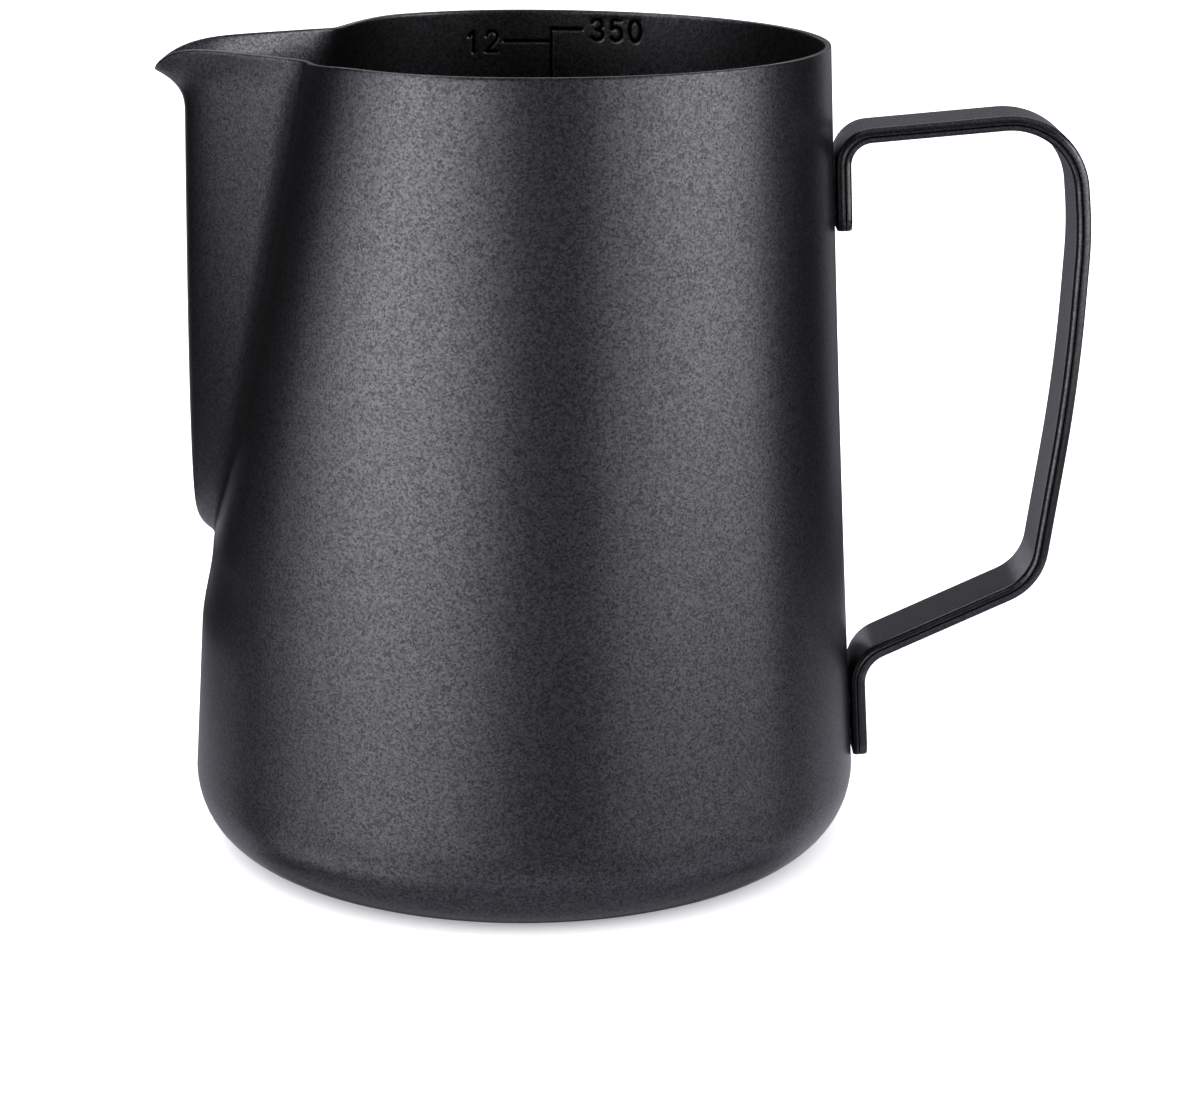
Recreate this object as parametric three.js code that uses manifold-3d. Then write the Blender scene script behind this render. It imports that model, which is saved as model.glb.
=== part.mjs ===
// A small steel milk frothing pitcher: a deep-drawn cup with a spout pressed out of its
// wall, and a bent flat strap welded on as its handle.
// Frame: millimetres, +Z up. The origin is the centre of the flat base, on the cup's axis.
// The spout points along -X and the handle along +X, so XZ is the plane of symmetry.

import * as THREE from 'three';
import Module from 'manifold-3d';
import { mergeVertices } from 'three/addons/utils/BufferGeometryUtils.js';

const wasm = await Module();
wasm.setup();

// ---------------------------------------------------------------- driving dimensions

const FIT_GAP = 0.3; // clearance between neighbouring solids

// Cup
const HEIGHT = 91.8; // rim plane above the table
const BASE_RADIUS = 38.55; // widest radius, just above the base curve
const RIM_RADIUS = 34.0;
const WALL_BOW = 0.2; // how much more the wall leans at its foot than at its rim
const SHEET = 0.7; // sheet thickness
const BASE_CURVE_REACH = 7; // the curve between base and wall, measured inwards
const BASE_CURVE_RISE = 8.1; // the same curve, measured upwards

// Spout, pressed out of the wall
const SPOUT_FOOT = 35.4; // height where its ridge starts
const RIDGE_REACH = 38.8; // ridge from the axis, produced down to the foot
const RIDGE_LEAN = 0.95; // how much nearer the axis the ridge is at the rim
const RIDGE_NOSE = 2.15; // how far the ridge rounds back at the foot
const RIDGE_NOSE_HEIGHT = 1;
const RIDGE_SLOPE = 0.75; // how far it leans back over a longer stretch above the foot
const RIDGE_SLOPE_HEIGHT = 9;
const LIP_FLARE = 3.6; // outward curl of the pouring lip
const LIP_HEIGHT = 7; // height of that curl
const LIP_DROP = 2.9; // how far the tip sits below the sides of the mouth
const LIP_DROP_ANGLE = 5.2; // degrees either side of the tip
const LIP_DROP_POWER = 1.5; // 1 is a pointed tip, 2 a round one
const MOUTH_DROP = 0.5; // how far the sides of the mouth sit below the rim plane
const MOUTH_ANGLE = 38; // degrees round from the tip where its edge starts to climb
const MOUTH_END_ANGLE = 60; // degrees round to where it has reached the rim plane
const MOUTH_LEVEL = 0.75; // share of the height above which the wall follows that dip
const SIDE_ANGLE_FOOT = 55; // degrees between a spout side and the symmetry plane
const SIDE_ANGLE_RIM = 36.5;
const CREASE_ANGLE_RIM = 36.5; // degrees round from the ridge to the crease, at the rim
const CREASE_SPREAD = 0.38; // how fast the crease opens above the foot
const CREASE_SOFTNESS = 0.6; // rounding of the crease
const RIDGE_SHARPEST = 0.05; // least distance between the ridge and a knife edge
const PINCH_FOOT = 1.25; // how far the wall is drawn in at the foot
const PINCH_RIM = 4.5; // how much further it is drawn in beside the mouth
const PINCH_GROWTH = 1.2;
const PINCH_FULLNESS = 0.1; // 0 draws the wall in most steeply at the crease
const PINCH_FADE = 10; // height below the foot where the drawn-in wall dies out
const PINCH_START = 0.05; // share of the spout's height over which the drawn-in wall opens
const PINCH_END_FOOT = 66; // degrees round to where the wall is round again
const PINCH_END_RIM = 90;

// Handle
const STRAP_WIDTH = 9.5;
const STRAP_THICKNESS = 1.7;
const STRAP_EDGE = 0.3; // rounding of the long edges
const TAB_CORNER = 1.6; // rounded corners at both ends of the strap
const UPPER_TAB_END = 71.1; // height
const LOWER_TAB_END = 9.2; // height
const TOP_BEND = { z: 81.7, bend: 3.3 }; // where the strap leaves the wall
const FOOT_BEND = { z: 21.05, bend: 4.4 }; // where it comes back to it
const GRIP = [
  { x: 61.2, z: 84.2, bend: 8.1 }, // outer top corner
  { x: 62.6, z: 71.2, bend: 45 },
  { x: 61.95, z: 54, bend: 200 },
  { x: 58.95, z: 30.7, bend: 6.4 }, // outer bottom corner
];

// Resistance welds, two down the middle of each tab
const WELDS_PER_TAB = 2;
const WELD_DIAMETER = 2.6;
const WELD_THICKNESS = 0.4;
const WELD_PITCH = 4;
const WELD_FROM_END = 2.3; // lower weld's centre above the end of its tab

const degrees = THREE.MathUtils.degToRad;

// ---------------------------------------------------------------- cup surface

const spoutRise = HEIGHT - SPOUT_FOOT;

// Radius of the plain round wall, without the spout.
function wallRadius(z) {
  const s = (z - BASE_CURVE_RISE) / (HEIGHT - BASE_CURVE_RISE);
  return BASE_RADIUS + (RIM_RADIUS - BASE_RADIUS) * (s + WALL_BOW * s * (1 - s));
}

// A corner-free maximum: the two surfaces blend over the given width.
function blendedMax(a, b, width) {
  const overlap = Math.max(width - Math.abs(a - b), 0) / width;
  return Math.max(a, b) + (overlap * overlap * width) / 4;
}

// Depth to which the wall is drawn in, at the crease.
function pinchDepth(z) {
  if (z < SPOUT_FOOT) {
    const fade = Math.max(1 - (SPOUT_FOOT - z) / PINCH_FADE, 0);
    return PINCH_FOOT * fade * fade * (3 - 2 * fade);
  }
  const rise = (z - SPOUT_FOOT) / spoutRise;
  return PINCH_FOOT + PINCH_RIM * Math.pow(rise, PINCH_GROWTH);
}

// The spout's level section is a hyperbola: a rounded ridge running into two flat sides.
function spoutRadius(angle, ridge, sharpRidge, sideAngle) {
  const round = sharpRidge - ridge;
  const spread = Math.sin(angle) / Math.tan(sideAngle);
  const c = Math.cos(angle);
  const area = sharpRidge * sharpRidge - round * round;
  const root = sharpRidge * sharpRidge * c * c - (c * c - spread * spread) * area;
  return area / (sharpRidge * c + Math.sqrt(Math.max(root, 0)));
}

// Radius of the cup at a level, where angle is measured round from the spout.
function cupRadius(angle, z) {
  const side = Math.abs(angle);
  const rise = Math.max(z - SPOUT_FOOT, 0) / spoutRise;
  const crease = degrees(CREASE_ANGLE_RIM) * Math.pow(rise, CREASE_SPREAD);
  const end = degrees(PINCH_END_FOOT + (PINCH_END_RIM - PINCH_END_FOOT) * rise ** 2);
  const start = crease * (1 - Math.exp(-rise / PINCH_START));
  const u = THREE.MathUtils.clamp((side - start) / (end - start), 0, 1);
  const depth = pinchDepth(z);
  const drawnIn = wallRadius(z) - depth * (1 - u) * (1 - u) * (1 + PINCH_FULLNESS * u);
  if (rise <= 0 || side > Math.PI / 2) {
    return drawnIn;
  }
  const sideAngle = degrees(SIDE_ANGLE_FOOT + (SIDE_ANGLE_RIM - SIDE_ANGLE_FOOT) * rise);
  const creaseRadius = wallRadius(z) - depth;
  const sideOffset = creaseRadius * Math.cos(crease - (Math.PI / 2 - sideAngle));
  const sharpRidge = sideOffset / Math.sin(sideAngle);
  const above = z - SPOUT_FOOT;
  const nose =
    RIDGE_NOSE * Math.exp(-above / RIDGE_NOSE_HEIGHT) +
    RIDGE_SLOPE * Math.exp(-above / RIDGE_SLOPE_HEIGHT);
  const curl = Math.max((z - (HEIGHT - LIP_HEIGHT)) / LIP_HEIGHT, 0);
  const reach = RIDGE_REACH - RIDGE_LEAN * rise - nose + LIP_FLARE * curl ** 3;
  const ridge = Math.min(reach, sharpRidge - RIDGE_SHARPEST);
  const nearest = Math.min(side, Math.PI / 2 - sideAngle);
  const spout = spoutRadius(nearest, ridge, sharpRidge, sideAngle);
  return blendedMax(spout, drawnIn, CREASE_SOFTNESS);
}

// How far the rim sits below the rim plane.
function rimDrop(angle) {
  const side = THREE.MathUtils.radToDeg(Math.abs(angle));
  const along = 1 - THREE.MathUtils.smoothstep(side, MOUTH_ANGLE, MOUTH_END_ANGLE);
  const tip = Math.exp(-Math.pow(side / LIP_DROP_ANGLE, LIP_DROP_POWER));
  return MOUTH_DROP * along + LIP_DROP * tip;
}

// A point on the outside. v runs 0 to 1 up the base curve and 1 to 2 up the wall.
function cupPoint(angle, v) {
  let r;
  let z;
  if (v <= 1) {
    const turn = (v * Math.PI) / 2;
    r = BASE_RADIUS - BASE_CURVE_REACH * (1 - Math.sin(turn));
    z = BASE_CURVE_RISE * (1 - Math.cos(turn));
  } else {
    const level = BASE_CURVE_RISE + (v - 1) * (HEIGHT - BASE_CURVE_RISE);
    const high = Math.max((level / HEIGHT - MOUTH_LEVEL) / (1 - MOUTH_LEVEL), 0);
    r = cupRadius(angle, level);
    z = level - rimDrop(angle) * high * high;
  }
  return new THREE.Vector3(-r * Math.cos(angle), r * Math.sin(angle), z);
}

// The outward normal, from the surface on either side of the point.
function cupNormal(angle, v) {
  const step = 1e-3;
  const low = v === 1 ? v : v - step;
  const around = cupPoint(angle + step, v).sub(cupPoint(angle - step, v));
  const up = cupPoint(angle, Math.min(v + step, 2)).sub(cupPoint(angle, Math.max(low, 0)));
  return up.cross(around).normalize();
}

// Rows of the surface grid: closer together where the shape turns quickly.
function cupRows() {
  const rows = [];
  const baseSteps = 5;
  for (let i = 0; i <= baseSteps; i += 1) {
    rows.push(i / baseSteps);
  }
  const bands = [
    [SPOUT_FOOT - PINCH_FADE, 2],
    [SPOUT_FOOT, 3],
    [SPOUT_FOOT + 6 * RIDGE_NOSE_HEIGHT, 4],
    [HEIGHT - LIP_HEIGHT, 7],
    [HEIGHT, 4],
  ];
  let from = BASE_CURVE_RISE;
  for (const [to, steps] of bands) {
    for (let i = 1; i <= steps; i += 1) {
      const level = from + ((to - from) * i) / steps;
      rows.push(1 + (level - BASE_CURVE_RISE) / (HEIGHT - BASE_CURVE_RISE));
    }
    from = to;
  }
  return rows;
}

// Columns of the grid: closest together at the ridge of the spout.
function cupColumns() {
  const half = 28;
  const crowding = 1.45;
  const angles = [];
  for (let i = 1 - half; i <= half; i += 1) {
    angles.push(Math.sign(i) * Math.PI * Math.pow(Math.abs(i) / half, crowding));
  }
  return angles;
}

// One closed sheet: up the outside, over the rim and down the inside.
function cupGeometry() {
  const columns = cupColumns();
  const rows = cupRows();
  const rings = [];
  for (const v of rows) {
    rings.push(columns.map((angle) => cupPoint(angle, v)));
  }
  for (const v of [...rows].reverse()) {
    rings.push(
      columns.map((angle) => {
        const normal = v === 0 ? new THREE.Vector3(0, 0, -1) : cupNormal(angle, v);
        return cupPoint(angle, v).addScaledVector(normal, -SHEET);
      }),
    );
  }
  const points = rings.flat();
  const below = points.push(new THREE.Vector3(0, 0, 0)) - 1;
  const inside = points.push(new THREE.Vector3(0, 0, SHEET)) - 1;
  const count = columns.length;
  const faces = [];
  for (let i = 0; i < count; i += 1) {
    const next = (i + 1) % count;
    const last = (rings.length - 1) * count;
    faces.push(below, i, next);
    faces.push(inside, last + next, last + i);
    for (let ring = 0; ring + 1 < rings.length; ring += 1) {
      const a = ring * count;
      const b = a + count;
      faces.push(a + i, b + i, b + next);
      faces.push(a + i, b + next, a + next);
    }
  }
  const geometry = new THREE.BufferGeometry().setFromPoints(points);
  geometry.setIndex(faces);
  return geometry;
}

// ---------------------------------------------------------------- handle strap

const tabStandOff = FIT_GAP + STRAP_THICKNESS / 2;

// A corner of the strap's middle line that lies along the wall.
function onWall(corner) {
  return { ...corner, x: wallRadius(corner.z) + tabStandOff };
}

// The middle line of the strap in the XZ plane: its corners, and the bend at each.
function strapCorners() {
  const upperEnd = { z: UPPER_TAB_END };
  const lowerEnd = { z: LOWER_TAB_END };
  return [
    onWall(upperEnd),
    onWall(TOP_BEND),
    ...GRIP,
    onWall(FOOT_BEND),
    onWall(lowerEnd),
  ];
}

// Where an arc of the given radius rounds off the corner between two straights.
function roundedCorner(before, corner, after) {
  const at = new THREE.Vector2(corner.x, corner.z);
  const back = new THREE.Vector2(before.x, before.z).sub(at).normalize();
  const on = new THREE.Vector2(after.x, after.z).sub(at).normalize();
  const half = Math.acos(THREE.MathUtils.clamp(back.dot(on), -1, 1)) / 2;
  const centre = back.clone().add(on).normalize();
  centre.multiplyScalar(corner.bend / Math.sin(half)).add(at);
  const left = back.x * on.y - back.y * on.x < 0;
  const start = at.clone().addScaledVector(back, corner.bend / Math.tan(half)).sub(centre);
  const end = at.clone().addScaledVector(on, corner.bend / Math.tan(half)).sub(centre);
  return { centre, from: start.angle(), to: end.angle(), bend: corner.bend, left };
}

// The strap's side outline: one face out to the far end, the other face back.
function strapOutline() {
  const corners = strapCorners();
  const arcs = [];
  for (let i = 1; i + 1 < corners.length; i += 1) {
    arcs.push(roundedCorner(corners[i - 1], corners[i], corners[i + 1]));
  }
  const half = STRAP_THICKNESS / 2;
  const first = corners[0];
  const last = corners[corners.length - 1];
  const shape = new THREE.Shape();
  shape.moveTo(first.x + half, first.z);
  shape.lineTo(first.x - half, first.z);
  for (const arc of arcs) {
    const radius = arc.bend + (arc.left ? -half : half);
    shape.absarc(arc.centre.x, arc.centre.y, radius, arc.from, arc.to, !arc.left);
  }
  shape.lineTo(last.x + half, last.z);
  shape.lineTo(last.x - half, last.z);
  for (const arc of [...arcs].reverse()) {
    const radius = arc.bend + (arc.left ? half : -half);
    shape.absarc(arc.centre.x, arc.centre.y, radius, arc.to, arc.from, arc.left);
  }
  shape.closePath();
  return shape;
}

function strapBlank() {
  const blank = new THREE.ExtrudeGeometry(strapOutline(), {
    depth: STRAP_WIDTH - 2 * STRAP_EDGE,
    bevelSize: STRAP_EDGE,
    bevelThickness: STRAP_EDGE,
    bevelOffset: -STRAP_EDGE,
    bevelSegments: 2,
    curveSegments: 9,
  });
  blank.rotateX(Math.PI / 2);
  blank.translate(0, STRAP_WIDTH / 2 - STRAP_EDGE, 0);
  return blank;
}

// What is trimmed off one corner of a tab, to leave it rounded.
function cornerTrim(side, end) {
  const trim = new THREE.Shape();
  trim.moveTo(-1, -1);
  trim.lineTo(TAB_CORNER, -1);
  trim.lineTo(TAB_CORNER, 0);
  trim.absarc(TAB_CORNER, TAB_CORNER, TAB_CORNER, -Math.PI / 2, Math.PI, true);
  trim.lineTo(-1, TAB_CORNER);
  trim.closePath();
  const block = new THREE.ExtrudeGeometry(trim, {
    depth: 4 * STRAP_THICKNESS,
    bevelEnabled: false,
    curveSegments: 5,
  });
  block.translate(-STRAP_WIDTH / 2, 0, -2 * STRAP_THICKNESS);
  block.rotateX(Math.PI / 2);
  block.rotateZ((side * Math.PI) / 2);
  block.translate(wallRadius(end) + tabStandOff, 0, end);
  return block;
}

// ---------------------------------------------------------------- welds

// Centre, on the wall side of the tab, and tilt of each weld.
function weldPlaces(end) {
  const places = [];
  for (let i = 0; i < WELDS_PER_TAB; i += 1) {
    const z = end + WELD_FROM_END + i * WELD_PITCH;
    const lean = Math.atan((wallRadius(z + 1) - wallRadius(z - 1)) / 2);
    places.push({ x: wallRadius(z), z, lean });
  }
  return places;
}

// A disc across the tab, from one distance off the wall to another.
function weldDisc(place, diameter, from, to) {
  const disc = new THREE.CylinderGeometry(diameter / 2, diameter / 2, to - from, 20);
  disc.rotateZ(Math.PI / 2);
  disc.translate((from + to) / 2, 0, 0);
  disc.rotateY(place.lean);
  disc.translate(place.x, 0, place.z);
  return disc;
}

// ---------------------------------------------------------------- joins and cuts

function solidOf(geometry) {
  const plain = geometry.clone();
  plain.deleteAttribute('normal');
  plain.deleteAttribute('uv');
  const merged = mergeVertices(plain, 1e-4);
  const vertProperties = new Float32Array(merged.attributes.position.array);
  const triVerts = new Uint32Array(merged.index.array);
  return new wasm.Manifold(new wasm.Mesh({ numProp: 3, vertProperties, triVerts }));
}

function geometryOf(solid) {
  const { vertProperties, triVerts } = solid.getMesh();
  const geometry = new THREE.BufferGeometry();
  geometry.setAttribute('position', new THREE.BufferAttribute(vertProperties, 3));
  geometry.setIndex(new THREE.BufferAttribute(triVerts, 1));
  return geometry;
}

// The bent strap, with rounded ends and a shallow seat for each weld.
function strapGeometry() {
  let strap = solidOf(strapBlank());
  for (const end of [UPPER_TAB_END, LOWER_TAB_END]) {
    for (const side of [-1, 1]) {
      strap = strap.subtract(solidOf(cornerTrim(side, end)));
    }
    for (const place of weldPlaces(end)) {
      const depth = 2 * FIT_GAP + WELD_THICKNESS;
      const seat = weldDisc(place, WELD_DIAMETER + 2 * FIT_GAP, -FIT_GAP, depth);
      strap = strap.subtract(solidOf(seat));
    }
  }
  return geometryOf(strap);
}

// ---------------------------------------------------------------- the assembly

const coatedSteel = { color: 0x2b2b2e, roughness: 0.55, metalness: 0.35 };
const bareSteel = { color: 0xb9bbbd, roughness: 0.4, metalness: 1 };

function part(name, geometry, finish) {
  geometry.computeVertexNormals();
  const mesh = new THREE.Mesh(geometry, new THREE.MeshStandardMaterial(finish));
  mesh.name = name;
  return mesh;
}

const pitcher = new THREE.Group();
pitcher.add(part('body_shell', cupGeometry(), coatedSteel));
pitcher.add(part('handle_strap', strapGeometry(), coatedSteel));

for (const [tab, end] of [['upper', UPPER_TAB_END], ['lower', LOWER_TAB_END]]) {
  weldPlaces(end).forEach((place, i) => {
    const weld = weldDisc(place, WELD_DIAMETER, FIT_GAP, FIT_GAP + WELD_THICKNESS);
    pitcher.add(part(`${tab}_weld_${i + 1}`, weld, bareSteel));
  });
}

export default pitcher;
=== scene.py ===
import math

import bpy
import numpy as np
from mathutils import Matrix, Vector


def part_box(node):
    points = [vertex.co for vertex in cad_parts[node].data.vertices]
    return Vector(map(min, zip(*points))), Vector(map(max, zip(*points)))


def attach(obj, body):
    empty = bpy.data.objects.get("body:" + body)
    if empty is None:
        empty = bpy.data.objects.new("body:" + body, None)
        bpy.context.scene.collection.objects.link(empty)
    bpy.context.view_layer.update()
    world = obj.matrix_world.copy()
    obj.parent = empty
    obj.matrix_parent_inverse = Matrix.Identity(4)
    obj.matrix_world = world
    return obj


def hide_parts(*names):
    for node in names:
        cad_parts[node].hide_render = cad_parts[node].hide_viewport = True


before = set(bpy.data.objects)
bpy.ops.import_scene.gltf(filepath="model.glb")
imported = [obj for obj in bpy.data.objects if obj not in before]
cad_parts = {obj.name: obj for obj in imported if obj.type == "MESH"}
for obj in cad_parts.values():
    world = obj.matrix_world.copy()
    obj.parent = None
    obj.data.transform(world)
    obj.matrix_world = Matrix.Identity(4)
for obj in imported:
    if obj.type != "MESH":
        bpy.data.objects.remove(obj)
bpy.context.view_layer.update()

# A small steel milk frothing pitcher with a black coating: the cup, its strap handle and the
# welds between them, on a pale floor. Blender units are metres. The pieces are drawn in
# millimetres from the CAD model's own dimensions and become metres as their meshes are made.
# +Z is up, the spout points along -X and the handle along +X. An angle round the cup is
# measured from the spout, and is positive on the far side, +Y.

MM = 0.001
_, cup_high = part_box("body_shell")
strap_low, strap_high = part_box("handle_strap")

# ---------------------------------------------------------------- dimensions, in millimetres

# Cup
HEIGHT = cup_high.z / MM
BASE_RADIUS = cup_high.x / MM
RIM_RADIUS = 34.0
WALL_BOW = 0.2  # how much more the wall leans at its foot than at its rim
SHEET = 0.7  # thickness
BASE_CURVE_REACH = 7  # the curve between base and wall, measured inwards
BASE_CURVE_RISE = 8.1

# Spout
SPOUT_FOOT = 35.4  # height where its ridge starts
RIDGE_REACH = 38.8  # ridge from the axis, produced down to the foot
RIDGE_LEAN = 0.95  # how much nearer the axis the ridge is at the rim
RIDGE_NOSE = 2.15  # how far the ridge rounds back at the foot
RIDGE_NOSE_HEIGHT = 1
RIDGE_SLOPE = 0.75  # how far it leans back over a longer stretch above the foot
RIDGE_SLOPE_HEIGHT = 9
LIP_FLARE = 3.6  # outward curl of the pouring lip
LIP_HEIGHT = 7  # height of that curl
LIP_DROP = 2.9  # how far the tip sits below the sides of the mouth
LIP_DROP_ANGLE = 5.2  # degrees either side of the tip
LIP_DROP_POWER = 1.5  # 1 is a pointed tip, 2 a round one
MOUTH_DROP = 0.5  # how far the sides of the mouth sit below the rim plane
MOUTH_ANGLE = 38  # degrees round from the tip where its edge starts to climb
MOUTH_END_ANGLE = 60  # degrees round to where it has reached the rim plane
MOUTH_LEVEL = 0.75  # share of the height above which the wall follows that dip
SIDE_ANGLE_FOOT = 55  # degrees between a spout side and the symmetry plane
SIDE_ANGLE_RIM = 36.5
CREASE_ANGLE_RIM = 36.5  # degrees round from the ridge to the crease, at the rim
CREASE_SPREAD = 0.38  # how fast the crease opens above the foot
CREASE_SOFTNESS = 0.6  # rounding of the crease
RIDGE_SHARPEST = 0.05  # least distance between the ridge and a knife edge
PINCH_FOOT = 1.25  # how far the wall is drawn in at the foot
PINCH_RIM = 4.5  # how much further it is drawn in beside the mouth
PINCH_GROWTH = 1.2  # above 1, it grows faster towards the mouth
PINCH_FADE = 10  # height below the foot where the drawn-in wall dies out
PINCH_FULLNESS = 0.1  # 0 draws the wall in most steeply at the crease
PINCH_START = 0.05  # share of the spout's height over which the drawn-in wall opens
PINCH_END_FOOT = 66  # degrees round to where the wall is round again
PINCH_END_RIM = 90

# Strap
STRAP_WIDTH = (strap_high.y - strap_low.y) / MM
STRAP_THICKNESS = 1.7
TAB_GAP = 0.06  # between the wall and the tabs
TAB_CORNER = 1.6  # rounded corners at both ends
UPPER_TAB_END = 71.1  # height
LOWER_TAB_END = strap_low.z / MM
TOP_BEND = (81.7, 3.3)  # height and bend radius where the strap leaves the wall
FOOT_BEND = (21.05, 4.4)
GRIP = [  # x, z and bend radius of the corners away from the cup
    (61.2, 84.2, 8.1),
    (62.6, 71.2, 45),
    (61.95, 54, 200),
    (58.95, 30.7, 6.4),
]

# Welds, down the middle of each tab
WELDS_PER_TAB = 2
WELD_DIAMETER = 2.6
WELD_PITCH = 4
WELD_FROM_END = 2.3  # lower weld's centre above the end of its tab
WELD_CLEARANCE = 0.01  # to the wall and to the tab


# ---------------------------------------------------------------- meshes

SHARP_ANGLE = math.radians(40)  # edges that turn by more stay sharp


def new_piece(name, points, faces, material, smooth_angle=None):
    """A mesh object from points in millimetres, shaded smooth."""
    mesh = bpy.data.meshes.new(name)
    mesh.from_pydata([tuple(p) for p in np.asarray(points) * MM], [], faces)
    mesh.validate()
    mesh.polygons.foreach_set("use_smooth", [True] * len(mesh.polygons))
    if smooth_angle is not None:
        mesh.set_sharp_from_angle(angle=smooth_angle)
    mesh.materials.append(material)
    piece = bpy.data.objects.new(name, mesh)
    bpy.context.scene.collection.objects.link(piece)
    return piece


def unit(v):
    return v / np.maximum(np.linalg.norm(v, axis=-1, keepdims=True), 1e-12)


# ---------------------------------------------------------------- the cup's surface


def wall_radius(z):
    """Radius of the plain round wall, without the spout."""
    s = (z - BASE_CURVE_RISE) / (HEIGHT - BASE_CURVE_RISE)
    return BASE_RADIUS + (RIM_RADIUS - BASE_RADIUS) * (s + WALL_BOW * s * (1 - s))


def blended_max(a, b, width):
    """A corner-free maximum: the two surfaces blend over the given width."""
    overlap = np.maximum(width - np.abs(a - b), 0) / width
    return np.maximum(a, b) + overlap * overlap * width / 4


def pinch_depth(z):
    """Depth to which the wall is drawn in, at the crease."""
    fade = np.clip(1 - (SPOUT_FOOT - z) / PINCH_FADE, 0, 1)
    rise = np.maximum(z - SPOUT_FOOT, 0) / (HEIGHT - SPOUT_FOOT)
    below = PINCH_FOOT * fade * fade * (3 - 2 * fade)
    above = PINCH_FOOT + PINCH_RIM * rise**PINCH_GROWTH
    return np.where(z < SPOUT_FOOT, below, above)


def spout_radius(angle, ridge, sharp, side_angle):
    """A level section of the spout: a hyperbola, so a rounded ridge between two flat sides."""
    spread = np.sin(angle) / np.tan(side_angle)
    c = np.cos(angle)
    area = sharp**2 - (sharp - ridge) ** 2
    root = (sharp * c) ** 2 - (c * c - spread * spread) * area
    return area / (sharp * c + np.sqrt(np.maximum(root, 0)))


def cup_radius(angle, z):
    """Radius of the wall with the spout pressed out of it."""
    side = np.abs(angle)
    rise = np.maximum(z - SPOUT_FOOT, 0) / (HEIGHT - SPOUT_FOOT)
    crease = math.radians(CREASE_ANGLE_RIM) * rise**CREASE_SPREAD
    end = np.radians(PINCH_END_FOOT + (PINCH_END_RIM - PINCH_END_FOOT) * rise**2)
    start = crease * (1 - np.exp(-rise / PINCH_START))
    u = np.clip((side - start) / (end - start), 0, 1)
    depth = pinch_depth(z)
    drawn_in = wall_radius(z) - depth * (1 - u) ** 2 * (1 + PINCH_FULLNESS * u)
    side_angle = np.radians(SIDE_ANGLE_FOOT + (SIDE_ANGLE_RIM - SIDE_ANGLE_FOOT) * rise)
    side_offset = (wall_radius(z) - depth) * np.cos(crease - (math.pi / 2 - side_angle))
    sharp = side_offset / np.sin(side_angle)
    above = np.maximum(z - SPOUT_FOOT, 0)
    nose = RIDGE_NOSE * np.exp(-above / RIDGE_NOSE_HEIGHT)
    nose += RIDGE_SLOPE * np.exp(-above / RIDGE_SLOPE_HEIGHT)
    curl = np.maximum((z - (HEIGHT - LIP_HEIGHT)) / LIP_HEIGHT, 0)
    reach = RIDGE_REACH - RIDGE_LEAN * rise - nose + LIP_FLARE * curl**3
    ridge = np.minimum(reach, sharp - RIDGE_SHARPEST)
    nearest = np.minimum(side, math.pi / 2 - side_angle)
    spout = spout_radius(nearest, ridge, sharp, side_angle)
    plain = (rise <= 0) | (side > math.pi / 2)
    return np.where(plain, drawn_in, blended_max(spout, drawn_in, CREASE_SOFTNESS))


def rim_drop(angle):
    """How far the rim sits below the rim plane."""
    side = np.degrees(np.abs(angle))
    t = np.clip((side - MOUTH_ANGLE) / (MOUTH_END_ANGLE - MOUTH_ANGLE), 0, 1)
    along = 1 - t * t * (3 - 2 * t)
    tip = np.exp(-((side / LIP_DROP_ANGLE) ** LIP_DROP_POWER))
    return MOUTH_DROP * along + LIP_DROP * tip


def cup_outside(angle, v):
    """Points on the outside. v runs 0 to 1 up the base curve and 1 to 2 up the wall."""
    turn = np.clip(v, 0, 1) * math.pi / 2
    level = BASE_CURVE_RISE + np.maximum(v - 1, 0) * (HEIGHT - BASE_CURVE_RISE)
    high = np.maximum((level / HEIGHT - MOUTH_LEVEL) / (1 - MOUTH_LEVEL), 0)
    low = v <= 1
    curve = BASE_RADIUS - BASE_CURVE_REACH * (1 - np.sin(turn))
    r = np.where(low, curve, cup_radius(angle, level))
    z = np.where(low, BASE_CURVE_RISE * (1 - np.cos(turn)), level - rim_drop(angle) * high**2)
    return np.stack([-r * np.cos(angle), r * np.sin(angle), z], axis=-1)


def cup_directions(angle, v):
    """Outward normals, and the directions that run up the wall."""
    step = 1e-3
    around = cup_outside(angle + step, v) - cup_outside(angle - step, v)
    top = cup_outside(angle, np.where(v == 1, v, v + step))
    up = unit(top - cup_outside(angle, np.maximum(v - step, 0)))
    return unit(np.cross(up, around)), up


def level_of(z):
    """The v of a height on the wall."""
    return 1 + (z - BASE_CURVE_RISE) / (HEIGHT - BASE_CURVE_RISE)


def sheet_points(angle, v, depth):
    """Points at a depth into the sheet, from its outside."""
    normal, _ = cup_directions(angle, v)
    return cup_outside(angle, v) - normal * depth


# ---------------------------------------------------------------- the graduation

# Plain measuring marks pressed into the inside of the wall opposite the camera's side: an upright
# line with a tick and a numeral to each side of it. They are laid out in millimetres on the
# unrolled wall, x to the right as seen from the axis and y above the rim plane.
MARK_WIDTH = 0.42
MARK_DEPTH = 0.15
MARK_LINE_X = 2.4  # the upright line
MARK_LINE_FOOT = -10.5
MARK_RIGHT_TICK = (6.2, -2.3)  # outer end and height
MARK_LEFT_TICK = (-3.4, -3.8)
DIGIT_HEIGHT = 2.5
DIGIT_WIDTH = 1.55
DIGIT_PITCH = 2.45
NUMERAL_SPACE_RIGHT = 0.8  # between a tick and its numeral, in digit widths
NUMERAL_SPACE_LEFT = 0.5


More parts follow.
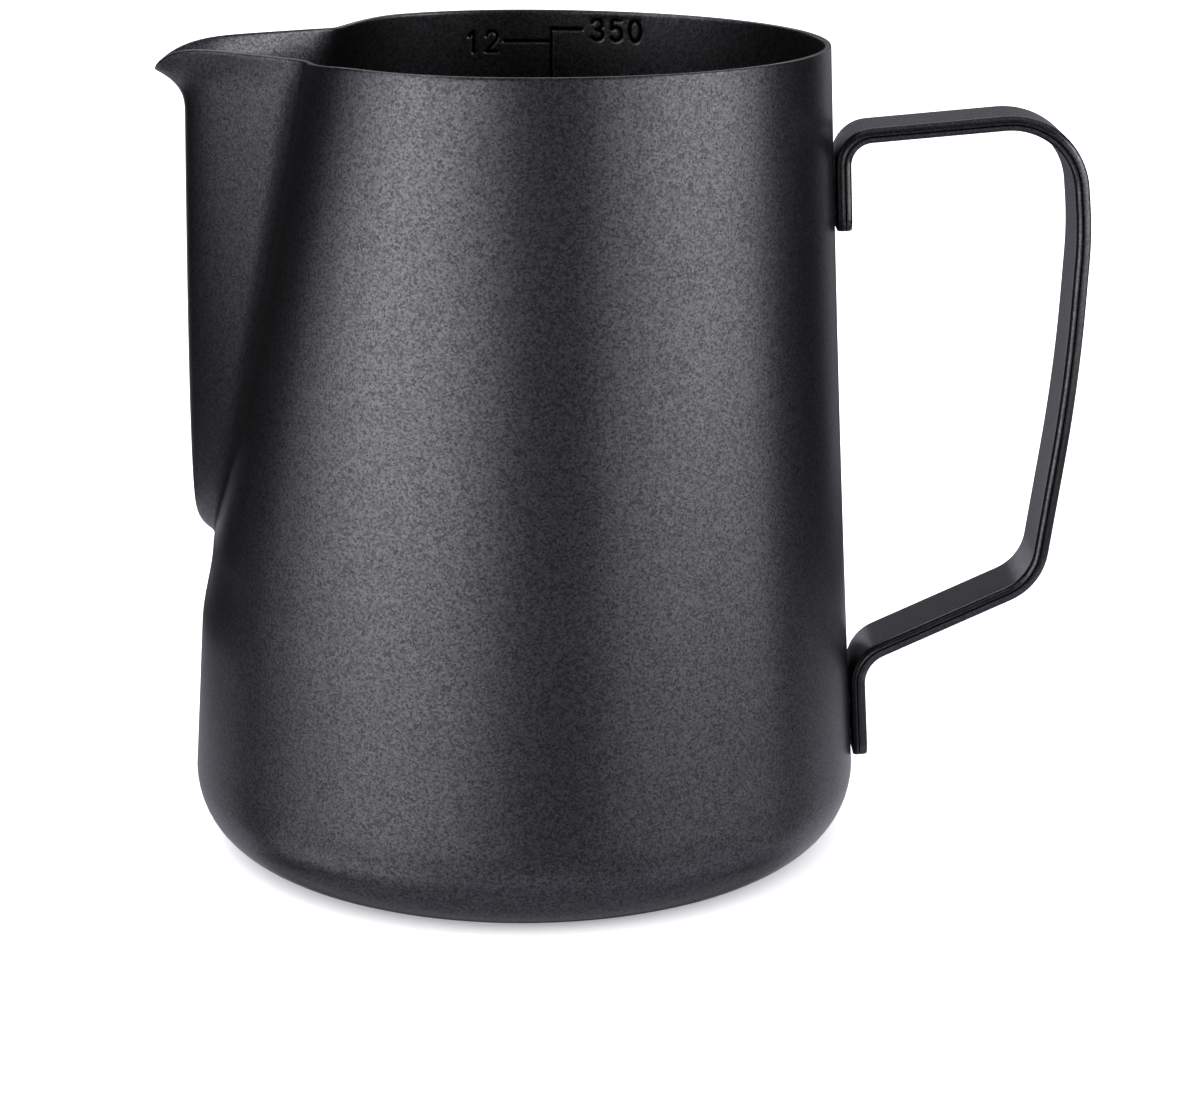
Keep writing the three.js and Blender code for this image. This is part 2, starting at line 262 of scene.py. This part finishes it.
def arc(x, y, rx, ry, start, end, steps=14):
    """Points along an arc of an ellipse, between two angles in degrees."""
    t = np.radians(np.linspace(start, end, steps))
    return [(x + rx * math.cos(a), y + ry * math.sin(a)) for a in t]


def digit_strokes(digit):
    """One digit as strokes in a box 1 wide and 1 high."""
    return {
        "0": [arc(0.5, 0.5, 0.46, 0.5, 0, 360, 28)],
        "1": [[(0.2, 0.78), (0.58, 1.0), (0.58, 0.0)]],
        "2": [arc(0.5, 0.72, 0.42, 0.28, 170, -38) + [(0.06, 0.0), (0.96, 0.0)]],
        "3": [
            arc(0.48, 0.745, 0.4, 0.255, 155, -90),
            arc(0.48, 0.25, 0.46, 0.25, 90, -155),
        ],
        "5": [[(0.9, 1.0), (0.2, 1.0), (0.1, 0.55)] + arc(0.46, 0.32, 0.46, 0.32, 128, -145)],
    }[digit]


def numeral_strokes(text, left, foot):
    strokes = []
    for i, digit in enumerate(text):
        for stroke in digit_strokes(digit):
            start = left + i * DIGIT_PITCH
            strokes.append([(start + x * DIGIT_WIDTH, foot + y * DIGIT_HEIGHT) for x, y in stroke])
    return strokes


def graduation_strokes():
    right_x, right_y = MARK_RIGHT_TICK
    left_x, left_y = MARK_LEFT_TICK
    half = DIGIT_HEIGHT / 2
    right_numeral = right_x + NUMERAL_SPACE_RIGHT * DIGIT_WIDTH
    left_numeral = left_x - NUMERAL_SPACE_LEFT * DIGIT_WIDTH - DIGIT_PITCH - DIGIT_WIDTH
    return [
        [(MARK_LINE_X, MARK_LINE_FOOT), (MARK_LINE_X, right_y), (right_x, right_y)],
        [(MARK_LINE_X, left_y), (left_x, left_y)],
        *numeral_strokes("350", right_numeral, right_y - half),
        *numeral_strokes("12", left_numeral, left_y - half),
    ]


def mark_depth(x, y):
    """How deep the marks are pressed in, at points of the unrolled wall."""
    nearest = np.full(x.shape, 1e3)
    for stroke in graduation_strokes():
        for (ax, ay), (bx, by) in zip(stroke, stroke[1:]):
            dx, dy = bx - ax, by - ay
            along = np.clip(((x - ax) * dx + (y - ay) * dy) / (dx * dx + dy * dy), 0, 1)
            nearest = np.minimum(nearest, np.hypot(x - ax - along * dx, y - ay - along * dy))
    # Full depth within a quarter of a stroke's width from its middle, and none past three quarters.
    t = np.clip(1.5 - 2 * nearest / MARK_WIDTH, 0, 1)
    return MARK_DEPTH * t * t * (3 - 2 * t)


# ---------------------------------------------------------------- the cup's mesh

CUP_COLUMNS = 256
COLUMN_CROWDING = 1.25  # columns are closer together at the spout
NOSE_TOP = SPOUT_FOOT + 6 * RIDGE_NOSE_HEIGHT  # the nose has died out above this height
BASE_CURVE_STEPS = 14
BASE_RINGS = 8  # on the flat base
BASE_FIRST_RING = 0.12  # innermost of them, as a share of the flat base
EDGE_STEPS = 8
EDGE_SQUARENESS = 0.65  # 1 is a round edge, 0 a square one

# The patch of the inside that holds the graduation, laid out as the marks are, has finer cells.
PATCH_SPLIT = 8  # fine cells along each side of a coarse one
PATCH_FOOT = -11.3
PATCH_TOP = -1.0
PATCH_LEFT = -10
PATCH_RIGHT = 15.5
ROW_SLACK = 1e-9


def cup_columns():
    half = CUP_COLUMNS // 2
    i = np.arange(1 - half, half + 1)
    return np.sign(i) * math.pi * (np.abs(i) / half) ** COLUMN_CROWDING


def wall_rows(bands):
    """The v of rows up the wall, from (height, steps) bands above the base curve."""
    rows = [1.0]
    for height, steps in bands:
        rows += list(np.linspace(rows[-1], level_of(height), steps + 1)[1:])
    return rows


def outside_rows():
    bands = [(SPOUT_FOOT - PINCH_FADE, 8), (SPOUT_FOOT, 14), (NOSE_TOP, 26)]
    bands += [(HEIGHT - LIP_HEIGHT, 36), (HEIGHT - SHEET / 2, 22)]
    return wall_rows(bands)


def inside_rows():
    bands = [(SPOUT_FOOT - PINCH_FADE, 6), (SPOUT_FOOT, 10)]
    bands += [(NOSE_TOP, 16), (HEIGHT + PATCH_FOOT, 20)]
    bands += [(HEIGHT + PATCH_TOP, 14), (HEIGHT - SHEET / 2, 2)]
    return wall_rows(bands)


def inside_points(angle, v):
    """The inside of the sheet with the graduation pressed into it, and the marks' depth."""
    plain = sheet_points(angle, v, SHEET)
    across = RIM_RADIUS * (angle - math.pi / 2)
    up = (v - level_of(HEIGHT)) * (HEIGHT - BASE_CURVE_RISE)
    depth = mark_depth(across, up)
    normal, _ = cup_directions(angle, v)
    return plain + normal * depth[..., None], depth


def edge_section():
    """Half-turn round the sheet's edge: across the sheet from 1 to -1, and up from 0 to 1."""
    t = np.linspace(0, math.pi, EDGE_STEPS + 1)[1:-1]
    across = np.sign(np.cos(t)) * np.abs(np.cos(t)) ** EDGE_SQUARENESS
    return np.stack([across, np.sin(t) ** EDGE_SQUARENESS], axis=-1)


def cup_rings(angle):
    """The rings of the cup's surface: up the outside, over the rim and down the inside."""
    curve = np.linspace(0, 1, BASE_CURVE_STEPS + 1)
    flat = np.linspace(BASE_FIRST_RING, 1, BASE_RINGS, endpoint=False)
    foot = cup_outside(angle, np.zeros_like(angle))
    rings = [foot * (f, f, 1) for f in flat]
    rings += [cup_outside(angle, np.full_like(angle, v)) for v in curve]
    outside = outside_rows()
    rings += [cup_outside(angle, np.full_like(angle, v)) for v in outside[1:]]
    top = np.full_like(angle, outside[-1])
    normal, up = cup_directions(angle, top)
    middle = cup_outside(angle, top) - normal * SHEET / 2
    for across, rise in edge_section():
        rings.append(middle + (normal * across + up * rise) * SHEET / 2)
    inside = inside_rows()
    first_inside = len(rings)
    rings += [inside_points(angle, np.full_like(angle, v))[0] for v in reversed(inside)]
    for v in curve[-2::-1]:
        rings.append(sheet_points(angle, np.full_like(angle, v), SHEET))
    floor = sheet_points(angle, np.zeros_like(angle), SHEET)
    rings += [floor * (f, f, 1) for f in flat[::-1]]
    return rings, first_inside, inside


def patch_bounds(angle, inside, first_inside):
    """First and last ring and column of the patch, and the v of its rows from the top."""
    across = RIM_RADIUS * (angle - math.pi / 2)
    columns = np.flatnonzero((PATCH_LEFT < across) & (across < PATCH_RIGHT))
    lowest = level_of(HEIGHT + PATCH_FOOT) - ROW_SLACK
    highest = level_of(HEIGHT + PATCH_TOP) + ROW_SLACK
    v_down = [v for v in reversed(inside) if lowest <= v <= highest]
    top = first_inside + inside[::-1].index(v_down[0])
    return top, top + len(v_down) - 1, columns[0], columns[-1], v_down


def fine_steps(values):
    """The values of a coarse row or column, with the fine ones between them."""
    fine = np.arange((len(values) - 1) * PATCH_SPLIT + 1) / PATCH_SPLIT
    return np.interp(fine, np.arange(len(values)), values)


def grid_faces(index):
    """Faces of a grid of point numbers."""
    faces = []
    for upper, lower in zip(index, index[1:]):
        for corners in zip(upper, lower, lower[1:], upper[1:]):
            faces.append(tuple(int(i) for i in corners))
    return faces


def cup_mesh_data():
    """Points, faces and the depth of the marks at each point of the whole cup."""
    angle = cup_columns()
    rings, first_inside, inside = cup_rings(angle)
    count = len(angle)
    points = [p for ring in rings for p in ring]
    depths = [0.0] * len(points)
    top_ring, bottom_ring, left, right, v_down = patch_bounds(angle, inside, first_inside)

    # The fine grid of the patch: its corner points are the coarse grid's own.
    grid = np.meshgrid(fine_steps(angle[left : right + 1]), fine_steps(v_down))
    grid_points, grid_depth = inside_points(*grid)
    fine_index = np.zeros(grid_depth.shape, int)
    for row, column in np.ndindex(fine_index.shape):
        if row % PATCH_SPLIT == 0 and column % PATCH_SPLIT == 0:
            ring = top_ring + row // PATCH_SPLIT
            fine_index[row, column] = ring * count + left + column // PATCH_SPLIT
            depths[fine_index[row, column]] = grid_depth[row, column]
        else:
            fine_index[row, column] = len(points)
            points.append(grid_points[row, column])
            depths.append(grid_depth[row, column])
    faces = grid_faces(fine_index)

    def side_of_patch(ring, column, next_ring, next_column):
        """The fine points between two neighbouring corners on the patch's border."""
        if not (top_ring <= min(ring, next_ring) and max(ring, next_ring) <= bottom_ring):
            return []
        if not (left <= min(column, next_column) and max(column, next_column) <= right):
            return []
        row, fine_column = (ring - top_ring) * PATCH_SPLIT, (column - left) * PATCH_SPLIT
        step = (next_ring - ring, next_column - column)
        inner = range(1, PATCH_SPLIT)
        return [fine_index[row + i * step[0], fine_column + i * step[1]] for i in inner]

    for ring in range(len(rings) - 1):
        for column in range(count):
            following = (column + 1) % count
            in_rows = top_ring <= ring < bottom_ring
            if in_rows and left <= column < right:
                continue
            corners = [(ring, column), (ring + 1, column), (ring + 1, following), (ring, following)]
            face = []
            for here, there in zip(corners, corners[1:] + corners[:1]):
                face.append(here[0] * count + here[1])
                face += side_of_patch(*here, *there)
            faces.append(tuple(int(i) for i in face))
    below = len(points)
    points.append((0, 0, 0))
    above = len(points)
    points.append((0, 0, SHEET))
    depths += [0.0, 0.0]
    last = (len(rings) - 1) * count
    for column in range(count):
        following = (column + 1) % count
        faces.append((below, column, following))
        faces.append((above, last + following, last + column))
    return np.array(points), faces, np.array(depths)


def build_cup(material):
    points, faces, depths = cup_mesh_data()
    cup = new_piece("cup", points, faces, material)
    marks = cup.data.attributes.new("mark_depth", "FLOAT", "POINT")
    marks.data.foreach_set("value", (depths / MARK_DEPTH).astype(np.float32))
    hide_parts("body_shell")
    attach(cup, "root")


# ---------------------------------------------------------------- the strap

STRAP_OUTER_ROUND = 0.65  # how far in from its widest place each long edge is rounded
STRAP_INNER_ROUND = 0.65
STRAP_GROOVE = (-0.05, -0.2)  # sides of the groove along each edge, outwards positive
STRAP_GROOVE_DEPTH = 0.25
GROOVE_PROFILE = [(0.3, 0.6), (0.5, 1), (0.7, 0.6)]  # shares of its width and of its depth
STRAP_ROUND_STEPS = 18
STRAP_END_ROUND = 0.25
STRAP_END_STEPS = 4
STRAP_SPACING = 0.6  # between its sections
STRAP_NEAR_END = 2.0  # sections are closer together this near to either end
STRAP_NEAR_STEPS = 8
STRAP_NEAR_GAP = 0.3  # least distance from those sections to the others
STRAP_FACE_POINTS = 7  # across each face


def strap_corners():
    stand_off = TAB_GAP + STRAP_THICKNESS / 2
    on_wall = [(wall_radius(z) + stand_off, z, bend) for z, bend in (TOP_BEND, FOOT_BEND)]
    upper_end = (wall_radius(UPPER_TAB_END) + stand_off, UPPER_TAB_END, 0)
    lower_end = (wall_radius(LOWER_TAB_END) + stand_off, LOWER_TAB_END, 0)
    return [upper_end, on_wall[0], *GRIP, on_wall[1], lower_end]


def rounded_path(corners, spacing):
    """Points and outward normals along straights joined by arcs, in the XZ plane."""
    points, normals = [], []

    def straight(start, end):
        steps = max(int(np.linalg.norm(end - start) / spacing), 1)
        along = unit(end - start)
        for t in np.arange(steps) / steps:
            points.append(start + (end - start) * t)
            normals.append(np.array([-along[1], along[0]]))

    position = np.array(corners[0][:2])
    for before, corner, after in zip(corners, corners[1:], corners[2:]):
        at, bend = np.array(corner[:2]), corner[2]
        back = unit(np.array(before[:2]) - at)
        on = unit(np.array(after[:2]) - at)
        half = math.acos(np.clip(back @ on, -1, 1)) / 2
        centre = at + unit(back + on) * bend / math.sin(half)
        tangent = bend / math.tan(half)
        straight(position, at + back * tangent)
        first, last = at + back * tangent - centre, at + on * tangent - centre
        turn = math.pi - 2 * half
        clockwise = first[0] * last[1] - first[1] * last[0] < 0
        steps = max(int(bend * turn / spacing), 10)
        for t in np.arange(steps) / steps:
            a = math.atan2(first[1], first[0]) + (-turn if clockwise else turn) * t
            spoke = np.array([math.cos(a), math.sin(a)])
            points.append(centre + bend * spoke)
            normals.append(spoke if clockwise else -spoke)
        position = at + on * tangent
    end = np.array(corners[-1][:2])
    straight(position, end)
    along = unit(end - position)
    points.append(end)
    normals.append(np.array([-along[1], along[0]]))
    return np.array(points), np.array(normals)


def strap_section():
    """One edge of the strap's section, rounded to both faces with a groove between: how far in
    from the widest place, and where through the thickness, from the outer face to the inner."""
    half = STRAP_THICKNESS / 2
    outer, inner = STRAP_GROOVE
    t = np.linspace(0, math.pi / 2, STRAP_ROUND_STEPS + 1)
    rounded = 1 - np.cos(t)
    groove = [outer + (inner - outer) * across for across, _ in GROOVE_PROFILE]
    through = [outer + (half - outer) * np.sin(t[::-1]), groove, inner - (half + inner) * np.sin(t)]
    inwards = [
        STRAP_OUTER_ROUND * rounded[::-1],
        [STRAP_GROOVE_DEPTH * deep for _, deep in GROOVE_PROFILE],
        STRAP_INNER_ROUND * rounded,
    ]
    return np.concatenate(inwards), np.concatenate(through)


def strap_rings():
    """The strap's sections, from the end of the upper tab to the end of the lower."""
    path, outward = rounded_path(strap_corners(), STRAP_SPACING)
    inwards, through = strap_section()
    travelled = np.concatenate([[0], np.cumsum(np.linalg.norm(np.diff(path, axis=0), axis=1))])
    rings = []

    def ring(at, normal, from_end, inset):
        """One section of the strap, narrowed by its rounded corners and by an inset."""
        short = max(TAB_CORNER - from_end, 0)
        narrowed = TAB_CORNER - math.sqrt(TAB_CORNER**2 - short**2) + inset
        share = 1 - 2 * inset / STRAP_THICKNESS
        y = STRAP_WIDTH / 2 - inwards - narrowed
        offset = through * share
        flat = np.linspace(-1, 1, STRAP_FACE_POINTS + 2)[1:-1]
        ys = np.concatenate([y, y[-1] * -flat, -y[::-1], y[0] * flat])
        edge = np.full(len(flat), 1.0)
        offsets = np.concatenate([offset, edge * offset[-1], offset[::-1], edge * offset[0]])
        xz = at + normal * offsets[:, None]
        rings.append(np.stack([xz[:, 0], ys, xz[:, 1]], axis=-1))

    def end_rings(at, normal, direction, order):
        """The rounded end: sections that shrink as they near the end's flat face."""
        for i in order:
            a = math.pi / 2 * i / STRAP_END_STEPS
            back = STRAP_END_ROUND * (1 - math.sin(a))
            inset = STRAP_END_ROUND * (1 - math.cos(a))
            ring(at - direction * back, normal, back, inset)

    start_way = unit(path[0] - path[1])
    end_way = unit(path[-1] - path[-2])
    end_rings(path[0], outward[0], start_way, range(STRAP_END_STEPS, -1, -1))
    fine = np.linspace(STRAP_END_ROUND, STRAP_NEAR_END, STRAP_NEAR_STEPS + 1)[1:]
    for s in fine:
        ring(path[0] - start_way * s, outward[0], s, 0)
    whole = travelled[-1]
    margin = STRAP_NEAR_END + STRAP_NEAR_GAP
    for at, normal, s in zip(path, outward, travelled):
        if margin < s < whole - margin:
            ring(at, normal, min(s, whole - s), 0)
    for s in fine[::-1]:
        ring(path[-1] - end_way * s, outward[-1], s, 0)
    end_rings(path[-1], outward[-1], end_way, range(STRAP_END_STEPS + 1))
    return rings


def build_strap(material):
    rings = strap_rings()
    count = len(rings[0])
    faces = [tuple(range(count))]
    for i in range(len(rings) - 1):
        for j in range(count):
            k = (j + 1) % count
            faces.append((i * count + j, (i + 1) * count + j, (i + 1) * count + k, i * count + k))
    last = (len(rings) - 1) * count
    faces.append(tuple(last + j for j in reversed(range(count))))
    strap = new_piece("strap_handle", np.concatenate(rings), faces, material, SHARP_ANGLE)
    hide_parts("handle_strap")
    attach(strap, "root")


# ---------------------------------------------------------------- the welds

WELD_RINGS = 5
WELD_SEGMENTS = 32


def build_weld(name, node, z, material):
    """A nugget between wall and tab. Its faces follow the round wall and the flat tab."""
    radii = np.linspace(0, WELD_DIAMETER / 2, WELD_RINGS + 1)[1:]
    count = WELD_SEGMENTS
    turns = np.linspace(0, 2 * math.pi, count, endpoint=False)
    points, faces = [], []
    lean = (wall_radius(z + 1) - wall_radius(z - 1)) / 2
    for side in (0, 1):
        first = len(points)
        for r in [0, *radii]:
            for a in turns if r else [0]:
                y, up = r * math.cos(a), r * math.sin(a)
                wall = math.sqrt(wall_radius(z + up) ** 2 - y * y) + WELD_CLEARANCE
                tab = wall_radius(z) + lean * up + TAB_GAP - WELD_CLEARANCE
                points.append((tab if side else wall, y, z + up))
        for j in range(count):
            k = (j + 1) % count
            fan = (first, first + 1 + j, first + 1 + k)
            faces.append(fan if side else fan[::-1])
            for ring in range(len(radii) - 1):
                a, b = first + 1 + ring * count, first + 1 + (ring + 1) * count
                face = (a + j, b + j, b + k, a + k)
                faces.append(face if side else face[::-1])
    per_side = 1 + count * len(radii)
    rim = per_side - count
    for j in range(count):
        k = (j + 1) % count
        faces.append((rim + j, rim + k, per_side + rim + k, per_side + rim + j))
    weld = new_piece(name, points, faces, material, SHARP_ANGLE)
    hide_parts(node)
    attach(weld, "root")


# ---------------------------------------------------------------- materials


def new_material(name):
    material = bpy.data.materials.new(name)
    material.use_nodes = True
    nodes = material.node_tree.nodes
    return material, nodes, material.node_tree.links, nodes["Principled BSDF"]


def add(nodes, kind, **values):
    """A node with its properties, or its inputs where the name is an input's, set."""
    node = nodes.new(kind)
    for key, value in values.items():
        if key in node.inputs:
            node.inputs[key].default_value = value
        else:
            setattr(node, key, value)
    return node


METALLIC = 0.985
CLUMP_FREQUENCY = 0.9  # of the clumps of grains, as a share of the grains' own
DARKEST = 0.3  # sum of grain and clump noise at the dark colour
LIGHTEST = 0.7  # the same at the light colour, before the sparkle
RELIEF_HEIGHT = 0.2  # of the grains, as a share of their size
CLOUD_SCALE = 45.0  # per metre, of the clouds of rougher and smoother coating
CLOUD_SPREAD = 0.05  # change of roughness either way
MARK_TONE = 0.04  # of the dark grains' colour, at the bottom of the pressed marks


def coating(name, dark, light, roughness, grain, sparkle, bump, marked=False):
    """Baked-on black coating with a metallic grain. grain is the size of a grain in metres, and
    marked says that the marks pressed into the mesh show darker."""
    material, nodes, links, shader = new_material(name)
    place = add(nodes, "ShaderNodeTexCoord").outputs["Object"]

    flakes = add(nodes, "ShaderNodeTexVoronoi", feature="F1", Scale=1 / grain)
    links.new(place, flakes.inputs["Vector"])
    flake = add(nodes, "ShaderNodeSeparateColor")
    links.new(flakes.outputs["Color"], flake.inputs["Color"])

    clumps = add(nodes, "ShaderNodeTexNoise", Scale=CLUMP_FREQUENCY / grain, Detail=1.0, Roughness=0.6)
    links.new(place, clumps.inputs["Vector"])
    cloud = add(nodes, "ShaderNodeTexNoise", Scale=CLOUD_SCALE, Detail=3.0)
    links.new(place, cloud.inputs["Vector"])

    tone = add(nodes, "ShaderNodeMath", operation="MULTIPLY_ADD")
    tone.inputs[1].default_value = sparkle
    links.new(flake.outputs["Red"], tone.inputs[0])
    links.new(clumps.outputs["Fac"], tone.inputs[2])
    ramp = add(nodes, "ShaderNodeMapRange")
    ramp.inputs["From Min"].default_value = DARKEST
    ramp.inputs["From Max"].default_value = LIGHTEST + sparkle
    links.new(tone.outputs[0], ramp.inputs["Value"])
    colour = add(nodes, "ShaderNodeMix", data_type="RGBA")
    colour.inputs["A"].default_value = (*dark, 1)
    colour.inputs["B"].default_value = (*light, 1)
    links.new(ramp.outputs["Result"], colour.inputs["Factor"])
    surface = colour
    if marked:
        marks = add(nodes, "ShaderNodeAttribute", attribute_name="mark_depth")
        surface = add(nodes, "ShaderNodeMix", data_type="RGBA")
        surface.inputs["B"].default_value = (*(c * MARK_TONE for c in dark), 1)
        links.new(marks.outputs["Fac"], surface.inputs["Factor"])
        links.new(colour.outputs["Result"], surface.inputs["A"])
    links.new(surface.outputs["Result"], shader.inputs["Base Color"])

    rough = add(nodes, "ShaderNodeMapRange")
    rough.inputs["To Min"].default_value = roughness - CLOUD_SPREAD
    rough.inputs["To Max"].default_value = roughness + CLOUD_SPREAD
    links.new(cloud.outputs["Fac"], rough.inputs["Value"])
    links.new(rough.outputs["Result"], shader.inputs["Roughness"])

    height = add(nodes, "ShaderNodeMath", operation="ADD")
    links.new(flake.outputs["Green"], height.inputs[0])
    links.new(clumps.outputs["Fac"], height.inputs[1])
    relief = add(nodes, "ShaderNodeBump", Strength=bump, Distance=grain * RELIEF_HEIGHT)
    links.new(height.outputs[0], relief.inputs["Height"])
    links.new(relief.outputs["Normal"], shader.inputs["Normal"])
    shader.inputs["Metallic"].default_value = METALLIC
    return material


def weld_steel():
    material, nodes, links, shader = new_material("weld_steel")
    place = add(nodes, "ShaderNodeTexCoord").outputs["Object"]
    tint = add(nodes, "ShaderNodeTexNoise", Scale=1500.0, Detail=3.0)
    links.new(place, tint.inputs["Vector"])
    colour = add(nodes, "ShaderNodeMix", data_type="RGBA")
    colour.inputs["A"].default_value = (0.30, 0.27, 0.25, 1)
    colour.inputs["B"].default_value = (0.58, 0.57, 0.56, 1)
    links.new(tint.outputs["Fac"], colour.inputs["Factor"])
    links.new(colour.outputs["Result"], shader.inputs["Base Color"])
    shader.inputs["Metallic"].default_value = 1.0
    shader.inputs["Roughness"].default_value = 0.42
    return material


# ---------------------------------------------------------------- stage, lights and camera

FLOOR_RADII = [0.02, 0.06, 0.12, 0.2, 0.3]  # of its rings, in metres
FLOOR_SEGMENTS = 96
FLOOR_GLOW = 0.24
BACKDROP_COLOUR = (0.98, 0.98, 1.03, 1)
BACKDROP_GLOW = 2.0


def build_floor():
    """A round pale table top, as white as the backdrop round it."""
    count = FLOOR_SEGMENTS
    points, faces = [(0, 0, 0)], []
    for r in FLOOR_RADII:
        for a in np.linspace(0, 2 * math.pi, count, endpoint=False):
            points.append((r * math.cos(a), r * math.sin(a), 0))
    for j in range(count):
        k = (j + 1) % count
        faces.append((0, 1 + j, 1 + k))
        for ring in range(len(FLOOR_RADII) - 1):
            a, b = 1 + ring * count, 1 + (ring + 1) * count
            faces.append((a + j, b + j, b + k, a + k))
    material, _, _, shader = new_material("pale_floor")
    shader.inputs["Base Color"].default_value = (0.8, 0.8, 0.8, 1)
    shader.inputs["Roughness"].default_value = 0.9
    shader.inputs["Emission Color"].default_value = (1, 1, 1, 1)
    shader.inputs["Emission Strength"].default_value = FLOOR_GLOW
    floor = new_piece("floor", np.array(points) / MM, faces, material)
    floor.visible_diffuse = False
    floor.visible_glossy = False
    floor.visible_shadow = False


PANEL_DISTANCE = 0.7  # metres from the middle of the cup
FILL_LIMIT = 1.0  # panels weaker than this are fill, a little bluer than the keys
FILL_COLOUR = (0.97, 0.96, 1.07)
PANELS = [  # name, azimuth, elevation, spread across and up in degrees, and radiance
    ("left_outer", -91, 0, 16, 28, 0.6),
    ("left_side", -72, 0, 20, 28, 1.7),
    ("left_key", -51, 0, 22, 28, 2.7),
    ("left_inner", -30, -2, 20, 23, 2.5),
    ("left_near", -13, -2, 14, 23, 1.3),
    ("front", 7, 0, 24, 28, 0.2),
    ("front_high", 0, 42, 70, 30, 0.12),
    ("right_inner", 36, 0, 16, 28, 1.2),
    ("right_key", 54, 2, 18, 27, 2.1),
    ("right_side", 71, 4, 16, 28, 2.6),
    ("right_outer", 86, 0, 14, 28, 1.7),
    ("left_high", -60, 25, 40, 20, 1.7),
    ("right_high", 72, 22, 36, 16, 3.0),
    ("top_left", -85, 58, 32, 24, 2.0),
    ("top", 0, 85, 100, 70, 0.35),
    ("back_high", 180, 40, 60, 22, 1.6),
    ("back_left", -158, 0, 20, 28, 0.7),
    ("back_right", 151, 0, 20, 28, 0.3),
    ("back", 172, 8, 48, 22, 0.2),
    ("low_back", 180, -14, 24, 22, 0.13),
    ("low_front", 0, -35, 52, 24, 0.5),
    ("low_left", -62, -33, 52, 20, 1.1),
    ("low_right", 70, -35, 52, 24, 0.6),
    ("low_back_left", -140, -30, 52, 24, 0.5),
    ("low_back_right", 140, -30, 52, 24, 0.7),
    ("below", 0, -89, 80, 80, 0.35),
]


def build_panel(name, azimuth, elevation, across, up, radiance):
    """A soft panel facing the pitcher. Azimuth 0 is on the camera's side, -Y, and 90 on +X's."""
    width, height = (2 * PANEL_DISTANCE * math.tan(math.radians(s / 2)) for s in (across, up))
    a, e = math.radians(azimuth), math.radians(elevation)
    way = Vector((math.sin(a) * math.cos(e), -math.cos(a) * math.cos(e), math.sin(e)))
    data = bpy.data.lights.new(name, "AREA")
    data.shape = "RECTANGLE"
    data.size, data.size_y = width, height
    data.energy = radiance * math.pi * width * height
    if radiance < FILL_LIMIT:
        data.color = FILL_COLOUR
    light = bpy.data.objects.new(name, data)
    light.location = Vector((0, 0, HEIGHT / 2 * MM)) + way * PANEL_DISTANCE
    light.rotation_mode = "QUATERNION"
    light.rotation_quaternion = way.to_track_quat("Z", "Y")
    light.visible_camera = False
    bpy.context.scene.collection.objects.link(light)


def build_world():
    """A white backdrop, which lights the floor all round but isn't mirrored in the pitcher."""
    world = bpy.data.worlds.new("backdrop")
    world.use_nodes = True
    background = world.node_tree.nodes["Background"]
    background.inputs["Color"].default_value = BACKDROP_COLOUR
    background.inputs["Strength"].default_value = BACKDROP_GLOW
    world.cycles_visibility.glossy = False
    bpy.context.scene.world = world


CAMERA_AT = (0.008724, -0.33924, 0.12929)  # metres
CAMERA_PITCH = 15.81  # degrees below the horizon
CAMERA_ROLL = 0.357
CAMERA_LENS = 90.946
SENSOR = 36
CLIP = (0.01, 20)  # metres


def build_camera():
    data = bpy.data.cameras.new("camera")
    data.lens = CAMERA_LENS
    data.sensor_width = SENSOR
    data.clip_start, data.clip_end = CLIP
    camera = bpy.data.objects.new("camera", data)
    turn = Matrix.Rotation(math.radians(90 - CAMERA_PITCH), 4, "X")
    roll = Matrix.Rotation(math.radians(CAMERA_ROLL), 4, "Z")
    camera.matrix_world = Matrix.Translation(CAMERA_AT) @ turn @ roll
    bpy.context.scene.collection.objects.link(camera)
    bpy.context.scene.camera = camera


# ---------------------------------------------------------------- the scene

cup_coating = coating(
    "cup_coating",
    dark=(0.035, 0.034, 0.039),
    light=(0.149, 0.146, 0.157),
    roughness=0.32,
    grain=0.0002,
    sparkle=1.2,
    bump=0.2,
    marked=True,
)
strap_coating = coating(
    "strap_coating",
    dark=(0.045, 0.044, 0.049),
    light=(0.129, 0.126, 0.136),
    roughness=0.23,
    grain=0.00018,
    sparkle=0.8,
    bump=0.15,
)
steel = weld_steel()

build_cup(cup_coating)
build_strap(strap_coating)
for tab, end in (("upper", UPPER_TAB_END), ("lower", LOWER_TAB_END)):
    for i in range(WELDS_PER_TAB):
        node = f"{tab}_weld_{i + 1}"
        build_weld(f"{tab}_weld_nugget_{i + 1}", node, end + WELD_FROM_END + i * WELD_PITCH, steel)

build_floor()
build_world()
build_camera()
for panel in PANELS:
    build_panel(*panel)

scene = bpy.context.scene
scene.view_settings.view_transform = "Standard"
